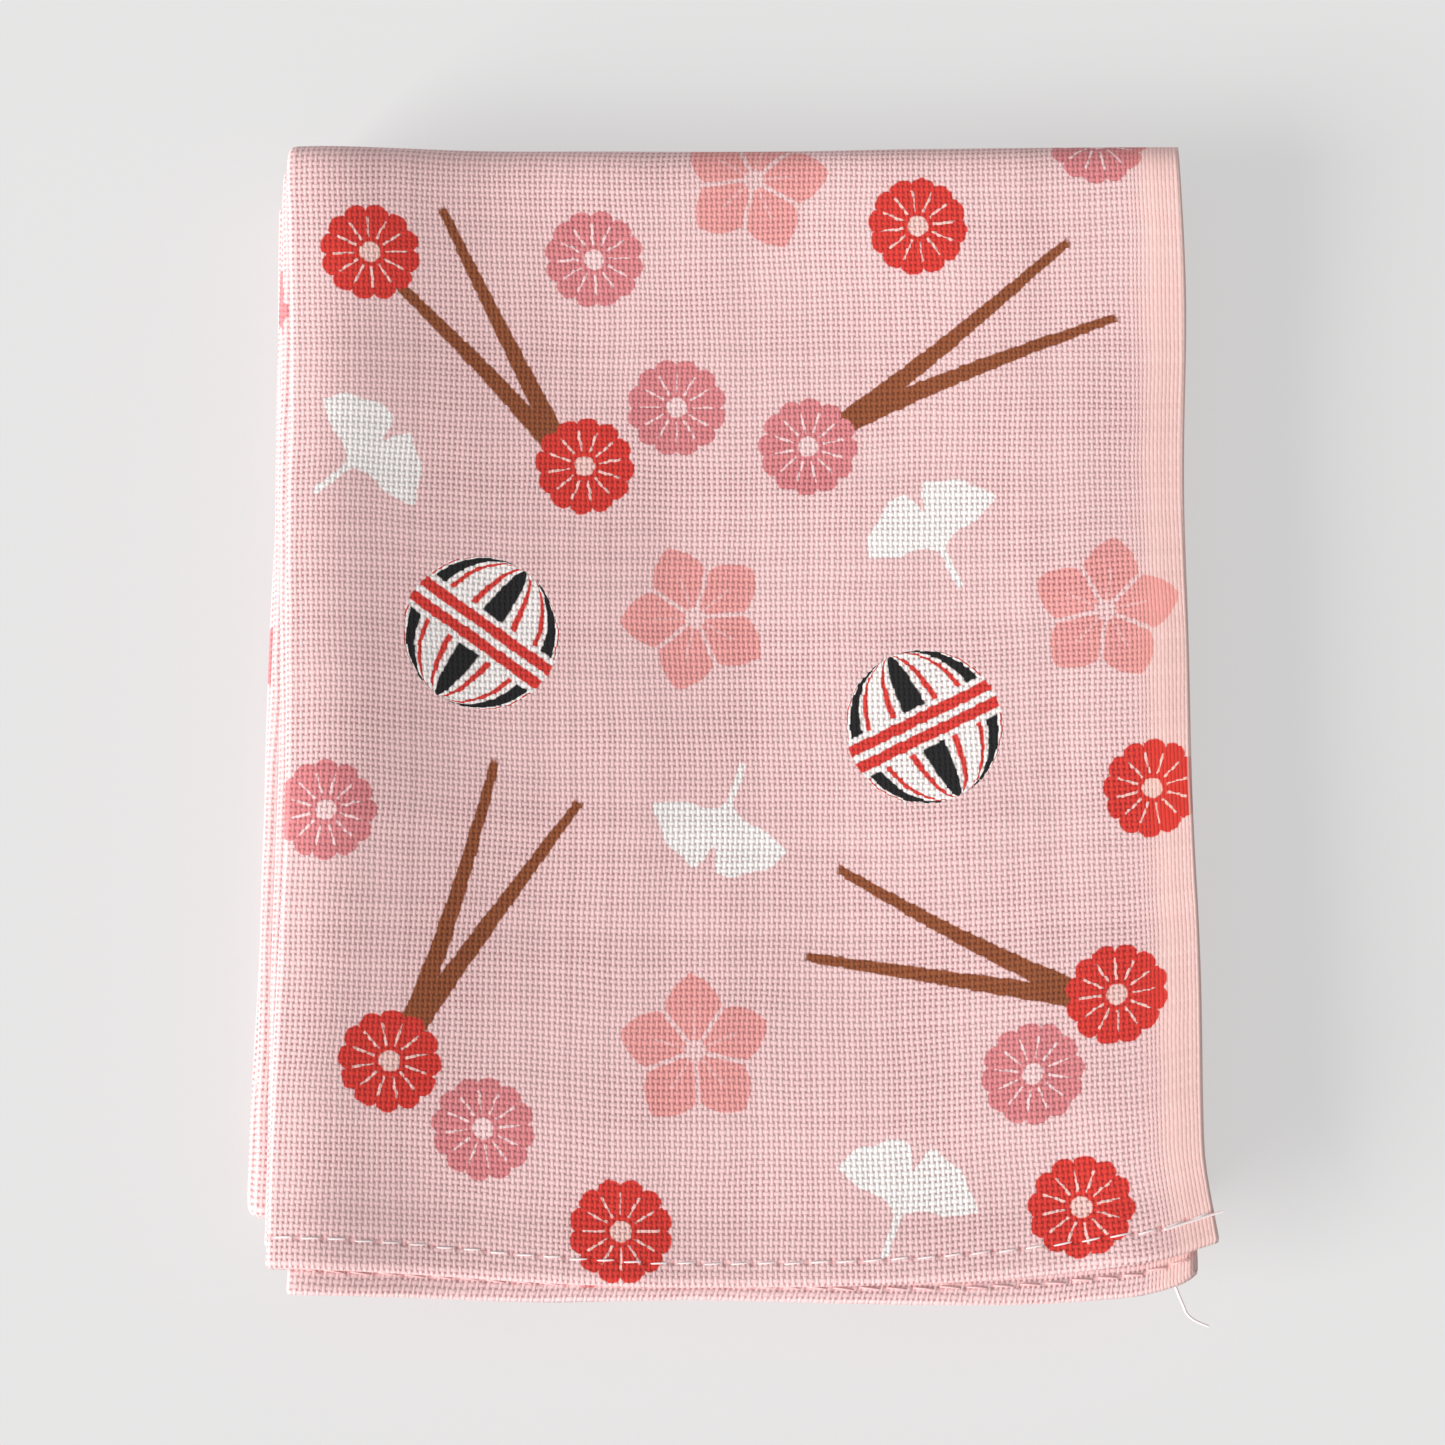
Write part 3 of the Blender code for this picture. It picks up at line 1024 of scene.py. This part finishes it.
def cotton_colour(flat, cloth, fibres, pits, reverse):
    """The print's colour, with what the weave does to it and painted highlight and shade on it."""
    x, y, _ = split(flat)
    print_x = (x - (WIDTH - STRIP_WIDTH) - YARN_SNAP * WARP_PITCH * cloth.warp_off) * MM_PER_METRE
    print_y = (y - YARN_SNAP * WEFT_PITCH * cloth.weft_off) * MM_PER_METRE
    print_x = print_x + (cloth.weft - 0.5) * INK_CREEP
    print_y = print_y + (cloth.warp - 0.5) * INK_CREEP
    colour = printed_colour(combine(print_x, print_y))
    colour = mix(cloth.selvedge * SELVEDGE_TINTED, colour, SELVEDGE_TINT, blend="MULTIPLY")
    if reverse:
        colour = mix(REVERSE_PALENESS, colour, GROUND)

    own_tone = YARN_TONE + YARN_TONE_SWING * cloth.warp + YARN_TONE_SWING * cloth.weft
    # Painted highlight on the crowns and painted shade in the low parts, with the yarns' and fibres' own
    # tone
    painted_light_and_tone = ramp(cloth.height + SELVEDGE_RAISED * cloth.selvedge, *WEAVE_PAINTED_LIGHT_RAMP) * own_tone
    painted_light_and_tone = painted_light_and_tone * (FIBRE_TONE + FIBRE_TONE_SWING * fibres)
    colour = mix(1.0, colour, painted_light_and_tone, blend="MULTIPLY")
    # Painted shade of the ply beneath, seen through the gaps
    patches = ramp(noise(flat, OPENNESS_SCALE, detail=3.0), *OPENNESS_RAMP)
    openness = patches * (1 - SELVEDGE_CLOSED * cloth.selvedge)
    colour = mix(ramp(cloth.height, *GAP_RAMP) * openness, colour, GAP_PAINTED_SHADE, blend="MULTIPLY")
    # Painted highlight along the sides
    colour = mix(ramp(cloth.edge, *CORD_RAMP), colour, CORD_PAINTED_HIGHLIGHT)
    # Painted shade in the stitches' pits
    return mix(pits, colour, PIT_PAINTED_SHADE, blend="MULTIPLY")


def cotton(name, reverse):
    """Printed plain-woven cotton. The print is weaker on its reverse."""
    material, shader = new_material(name, COTTON_CONSTANTS)
    uv_map = add_node(material.node_tree, "ShaderNodeUVMap", {}, uv_map="flat_cloth")
    flat = Field(uv_map.outputs["UV"])
    cloth = weave(flat)
    fibres = noise(flat, FIBRE_SCALE, detail=2.0)
    pits = stitch_pits(flat)
    relief = cloth.height * (1 - SELVEDGE_FLATNESS * cloth.selvedge)
    relief = relief + FIBRE_RELIEF * fibres - PIT_DEPTH * pits
    drive(shader, {
        "Base Color": cotton_colour(flat, cloth, fibres, pits, reverse),
        "Roughness": COTTON_ROUGHNESS + COTTON_ROUGHNESS_SWING * fibres,
        "Normal": bump(relief, BUMP_HEIGHT),
    })
    return material


def sewing_thread(name, shade, light):
    """Cotton thread, with its twist as fine streaks."""
    material, shader = new_material(name, THREAD_CONSTANTS)
    place = Field(add_node(material.node_tree, "ShaderNodeTexCoord", {}).outputs["Object"])
    streaks = noise(place, FIBRE_SCALE, detail=2.0)
    drive(shader, {
        "Base Color": mix(streaks, shade, light),
        "Roughness": THREAD_ROUGHNESS + THREAD_ROUGHNESS_SWING * streaks,
        "Normal": bump(streaks, BUMP_HEIGHT / 2),
    })
    return material


# The camera, in metres, and its focal length in the photo's pixels
TARGET = Vector((-0.0014, -0.0029, 0.0108))
CAMERA_TILT = math.radians(12)
CAMERA_DISTANCE = 0.375
NEAREST_SEEN = 0.01
FOCAL_PIXELS = 3910
PHOTO_PIXELS = 1445
SENSOR_MM = 36


def make_camera():
    data = bpy.data.cameras.new("camera")
    data.sensor_width = SENSOR_MM
    data.lens = SENSOR_MM * FOCAL_PIXELS / PHOTO_PIXELS
    data.clip_start = NEAREST_SEEN
    camera = add_object("camera", data)
    back = Vector((0, -math.sin(CAMERA_TILT), math.cos(CAMERA_TILT)))
    camera.location = TARGET + CAMERA_DISTANCE * back
    camera.rotation_euler = (CAMERA_TILT, 0, 0)
    bpy.context.scene.camera = camera


# The studio: a pale floor that glows a little, one wide soft light from the front left, and even light
# from all round
FLOOR_HALF_SIDE = 30.0
FLOOR_CONSTANTS = {
    "Base Color": (0.30, 0.30, 0.30, 1.0),
    "Emission Color": (1.0, 1.0, 1.0, 1.0),
    "Emission Strength": 0.50,
    "Roughness": 0.9,
    "Specular IOR Level": 0.1,
}
KEY_PLACE = Vector((-5.0, -2.4, 2.1))
KEY_SIZE = 3.7
KEY_POWER = 605.0
KEY_COLOUR = (1.0, 0.99, 0.98)
SKY_COLOUR = (1.0, 1.0, 1.0, 1.0)
SKY_STRENGTH = 0.41


def make_key_light():
    data = bpy.data.lights.new("key", "AREA")
    data.size = KEY_SIZE
    data.energy = KEY_POWER
    data.color = KEY_COLOUR
    light = add_object("key", data)
    light.location = KEY_PLACE
    light.rotation_euler = (-KEY_PLACE).to_track_quat("-Z", "Y").to_euler()


def make_stage():
    mesh = bpy.data.meshes.new("floor")
    shape = bmesh.new()
    bmesh.ops.create_grid(shape, x_segments=1, y_segments=1, size=FLOOR_HALF_SIDE)
    shape.to_mesh(mesh)
    shape.free()
    floor = add_object("floor", mesh)
    mesh.materials.append(new_material("pale_floor", FLOOR_CONSTANTS)[0])
    make_key_light()
    world = bpy.data.worlds.new("studio")
    world.use_nodes = True
    background = world.node_tree.nodes["Background"]
    background.inputs["Color"].default_value = SKY_COLOUR
    background.inputs["Strength"].default_value = SKY_STRENGTH
    bpy.context.scene.world = world
    bpy.context.scene.view_settings.view_transform = "Standard"


cloth = make_cloth(cotton("cotton_printed", reverse=False), cotton("cotton_reverse", reverse=True))
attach(cloth, "root")
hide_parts("towel")

needle_thread = sewing_thread("needle_thread", THREAD_BOUNCE_PINK, THREAD_WHITE)
bobbin_thread = sewing_thread("bobbin_thread", BOBBIN_SHADE, BOBBIN_PINK)
stitches = make_stitches(needle_thread, bobbin_thread)
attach(stitches, "root")

make_stage()
make_camera()
